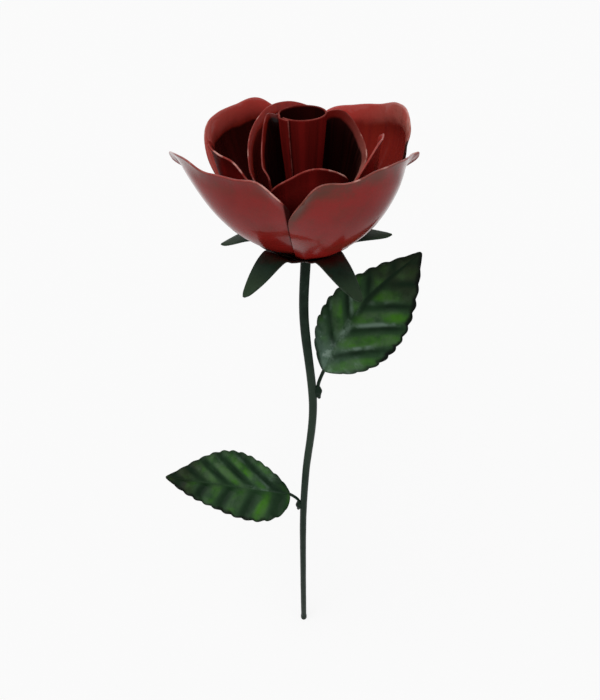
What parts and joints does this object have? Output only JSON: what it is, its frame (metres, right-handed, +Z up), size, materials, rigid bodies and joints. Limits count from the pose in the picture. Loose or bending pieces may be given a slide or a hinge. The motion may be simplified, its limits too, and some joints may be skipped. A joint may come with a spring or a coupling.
{
  "type": "metal rose garden stake",
  "caption": "Metal rose on a bent rod: cupped sheet petals round a rolled bud, a sheet calyx and serrated stamped leaves on wire stalks.",
  "frame": {"origin": "centre of the rod's flat lower end", "axes": "+Z up along the stake to the bloom, +X towards the upper leaf, -Y towards the front of the bloom"},
  "size_m": [0.1463, 0.0843, 0.4527],
  "materials": {
    "petal_red": "glossy deep red enamel with darker olive-brown smudges near the rims and worn paler cut edges",
    "stem_green": "satin very dark slate green paint",
    "calyx_green": "satin very dark slate green paint, dusted with red at the roots",
    "leaf_green": "glossy green paint, bright between the veins and near black at the tips and edges"
  },
  "bodies": {
    "root": {"stem": "stem_green", "calyx": "calyx_green", "outer_petal_front_left": "petal_red", "outer_petal_front_right": "petal_red", "outer_petal_back_right": "petal_red", "outer_petal_back_left": "petal_red", "middle_petal_front": "petal_red", "middle_petal_right": "petal_red", "middle_petal_back": "petal_red", "middle_petal_left": "petal_red", "inner_petal_right": "petal_red", "inner_petal_left": "petal_red", "bud_tube": "petal_red", "bloom_weld": "petal_red", "upper_leaf": "leaf_green", "lower_leaf": "leaf_green", "upper_leaf_stalk": "stem_green", "lower_leaf_stalk": "stem_green", "upper_stalk_weld": "stem_green", "lower_stalk_weld": "stem_green"}
  },
  "joints": []
}
